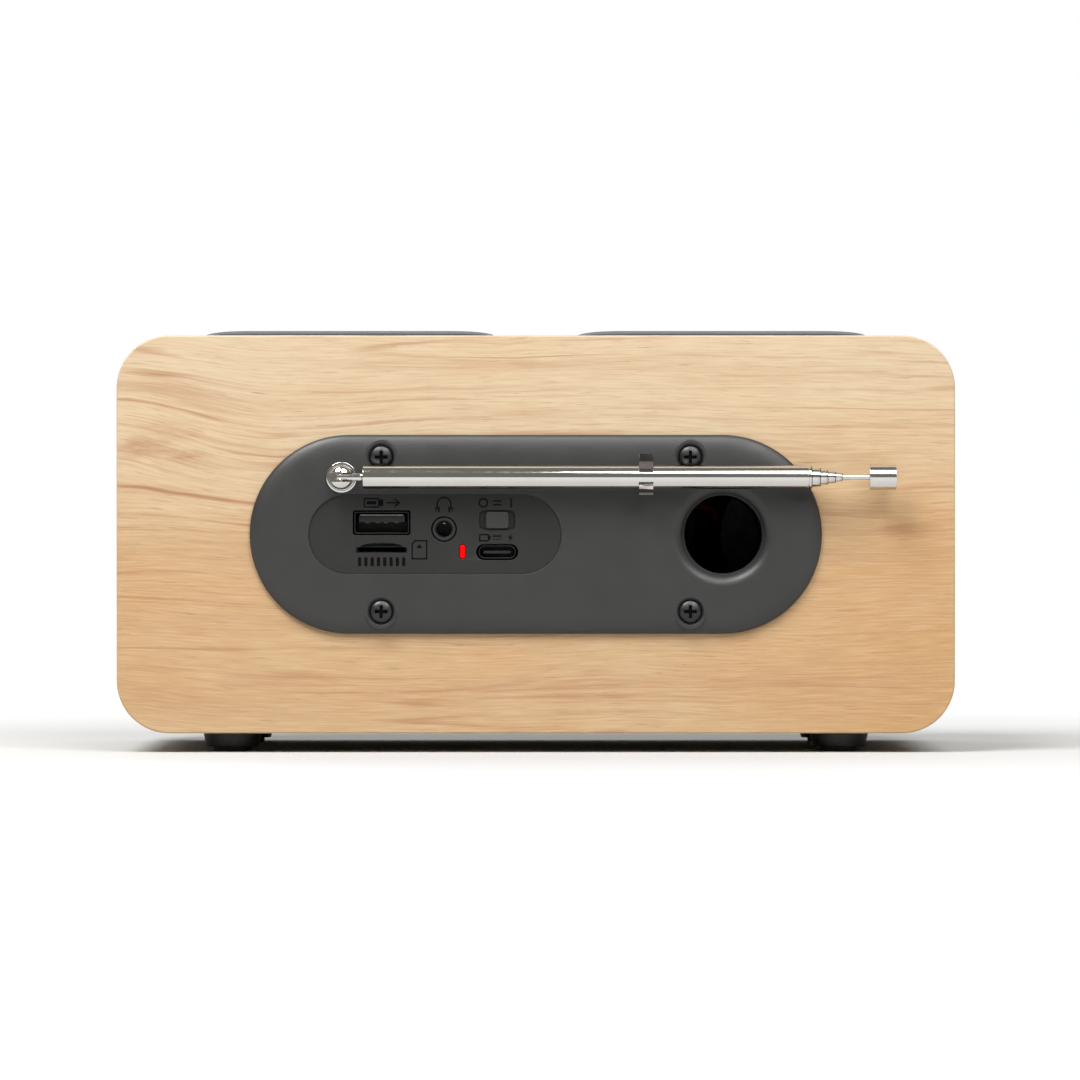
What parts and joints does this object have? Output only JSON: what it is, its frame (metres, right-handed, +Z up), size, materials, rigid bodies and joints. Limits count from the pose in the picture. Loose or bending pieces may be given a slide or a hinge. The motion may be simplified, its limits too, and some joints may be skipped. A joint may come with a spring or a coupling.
{
  "type": "clock radio",
  "caption": "Table-top clock radio in a rounded wooden case, with raised key decks on top and a rear service plate with sockets, bass port and a folding telescopic aerial.",
  "frame": {"origin": "on the table, under the middle of the whole object", "axes": "+Z up, -Y out of the front with the display, +Y out of the back with the service plate, +X to the right seen from the front"},
  "size_m": [0.2, 0.1023, 0.1015],
  "materials": {
    "wood_shell": "light maple veneer, satin lacquer, grain along the length",
    "grey_plastic": "moulded dark grey ABS, satin",
    "dark_plastic": "moulded charcoal ABS, satin",
    "black_plastic": "black moulded plastic",
    "black_rubber": "matt black rubber",
    "chrome": "bright chrome plate on brass tube",
    "black_steel": "black-coated steel, satin to glossy",
    "tinned_steel": "pressed and tinned steel",
    "grille_cloth": "woven dark grey grille cloth on a moulded frame",
    "smoked_lens": "smoked acrylic, polished",
    "circuit_board": "solder-masked circuit board",
    "red_light": "red light pipe",
    "speaker_paper": "black pressed paper cone with a rubber surround",
    "cell_sleeve": "metal can in a printed-free shrink sleeve",
    "lead_sheath": "vinyl wire insulation"
  },
  "bodies": {
    "case": {"cabinet": "wood_shell", "rear_plate": "grey_plastic", "control_deck_left": "grey_plastic", "control_deck_right": "grey_plastic", "socket_panel": "dark_plastic", "foot_front_left": "black_plastic", "foot_front_right": "black_plastic", "foot_rear_left": "black_plastic", "foot_rear_right": "black_plastic", "bass_port": "black_plastic", "audio_jack": "black_plastic", "power_switch_housing": "black_plastic", "front_baffle": "black_plastic", "display_module": "black_plastic", "battery_holder": "black_plastic", "foot_pad_front_left": "black_rubber", "foot_pad_front_right": "black_rubber", "foot_pad_rear_left": "black_rubber", "foot_pad_rear_right": "black_rubber", "aerial_bush": "chrome", "plate_screw_upper_left": "black_steel", "plate_screw_upper_right": "black_steel", "plate_screw_lower_left": "black_steel", "plate_screw_lower_right": "black_steel", "aerial_clip": "black_steel", "speaker_frame_left": "black_steel", "speaker_frame_right": "black_steel", "usb_a_socket": "tinned_steel", "usb_c_socket": "tinned_steel", "card_reader": "tinned_steel", "front_grille": "grille_cloth", "display_lens": "smoked_lens", "main_board": "circuit_board", "key_board_left": "circuit_board", "key_board_right": "circuit_board", "charge_light_pipe": "red_light", "battery_cell": "cell_sleeve", "speaker_lead_left": "lead_sheath", "speaker_lead_right": "lead_sheath", "aerial_lead": "lead_sheath"},
    "power_switch_knob": {"power_switch_knob": "grey_plastic"},
    "power_key": {"power_key": "black_rubber"},
    "alarm_one_key": {"alarm_one_key": "black_rubber"},
    "alarm_two_key": {"alarm_two_key": "black_rubber"},
    "snooze_bar": {"snooze_bar": "black_rubber"},
    "previous_key": {"previous_key": "black_rubber"},
    "play_key": {"play_key": "black_rubber"},
    "next_key": {"next_key": "black_rubber"},
    "volume_rocker": {"volume_rocker": "black_rubber"},
    "speaker_cone_left": {"speaker_cone_left": "speaker_paper"},
    "speaker_cone_right": {"speaker_cone_right": "speaker_paper"},
    "aerial_swivel": {"aerial_swivel": "chrome", "aerial_elbow_pin": "tinned_steel"},
    "aerial_tube": {"aerial_tube": "chrome"},
    "aerial_section_2": {"aerial_section_2": "chrome"},
    "aerial_section_3": {"aerial_section_3": "chrome"},
    "aerial_section_4": {"aerial_section_4": "chrome"},
    "aerial_section_5": {"aerial_section_5": "chrome"},
    "aerial_rod": {"aerial_rod": "chrome", "aerial_tip": "chrome"}
  },
  "joints": [
    {"name": "power_key_press", "type": "slide", "parent": "case", "child": "power_key", "axis": [0, 0, -1], "range_m": [0, 0.001], "stiffness_N_per_m": 700, "springref_m": -0.0005},
    {"name": "alarm_one_key_press", "type": "slide", "parent": "case", "child": "alarm_one_key", "axis": [0, 0, -1], "range_m": [0, 0.001], "stiffness_N_per_m": 700, "springref_m": -0.0005},
    {"name": "alarm_two_key_press", "type": "slide", "parent": "case", "child": "alarm_two_key", "axis": [0, 0, -1], "range_m": [0, 0.001], "stiffness_N_per_m": 700, "springref_m": -0.0005},
    {"name": "snooze_bar_press", "type": "slide", "parent": "case", "child": "snooze_bar", "axis": [0, 0, -1], "range_m": [0, 0.001], "stiffness_N_per_m": 700, "springref_m": -0.0005},
    {"name": "previous_key_press", "type": "slide", "parent": "case", "child": "previous_key", "axis": [0, 0, -1], "range_m": [0, 0.001], "stiffness_N_per_m": 700, "springref_m": -0.0005},
    {"name": "play_key_press", "type": "slide", "parent": "case", "child": "play_key", "axis": [0, 0, -1], "range_m": [0, 0.001], "stiffness_N_per_m": 700, "springref_m": -0.0005},
    {"name": "next_key_press", "type": "slide", "parent": "case", "child": "next_key", "axis": [0, 0, -1], "range_m": [0, 0.001], "stiffness_N_per_m": 700, "springref_m": -0.0005},
    {"name": "volume_rock", "type": "hinge", "parent": "case", "child": "volume_rocker", "pos_m": [0.0453, -0.0124, 0.0989], "axis": [0, 1, 0], "range_deg": [-2.2, 2.2], "stiffness_Nm_per_rad": 0.4},
    {"name": "power_switch_slide", "type": "slide", "parent": "case", "child": "power_switch_knob", "axis": [1, 0, 0], "range_m": [-0.0013, 0.0013]},
    {"name": "speaker_cone_left_travel", "type": "slide", "parent": "case", "child": "speaker_cone_left", "axis": [0, -1, 0], "range_m": [-0.001, 0.001], "stiffness_N_per_m": 2000},
    {"name": "speaker_cone_right_travel", "type": "slide", "parent": "case", "child": "speaker_cone_right", "axis": [0, -1, 0], "range_m": [-0.001, 0.001], "stiffness_N_per_m": 2000},
    {"name": "aerial_swivel_turn", "type": "hinge", "parent": "case", "child": "aerial_swivel", "pos_m": [0.0462, 0.04745, 0.0656], "axis": [0, 1, 0], "range_deg": [0, 180], "deforming": ["aerial_clip"]},
    {"name": "aerial_elbow_bend", "type": "hinge", "parent": "aerial_swivel", "child": "aerial_tube", "pos_m": [0.0462, 0.04745, 0.0656], "axis": [0, 0, -1], "range_deg": [0, 90], "deforming": ["aerial_clip"]},
    {"name": "aerial_section_2_pull", "type": "slide", "parent": "aerial_tube", "child": "aerial_section_2", "axis": [-1, 0, 0], "range_m": [0, 0.088]},
    {"name": "aerial_section_3_pull", "type": "slide", "parent": "aerial_section_2", "child": "aerial_section_3", "axis": [-1, 0, 0], "range_m": [0, 0.088]},
    {"name": "aerial_section_4_pull", "type": "slide", "parent": "aerial_section_3", "child": "aerial_section_4", "axis": [-1, 0, 0], "range_m": [0, 0.088]},
    {"name": "aerial_section_5_pull", "type": "slide", "parent": "aerial_section_4", "child": "aerial_section_5", "axis": [-1, 0, 0], "range_m": [0, 0.088]},
    {"name": "aerial_rod_pull", "type": "slide", "parent": "aerial_section_5", "child": "aerial_rod", "axis": [-1, 0, 0], "range_m": [0, 0.088]}
  ]
}
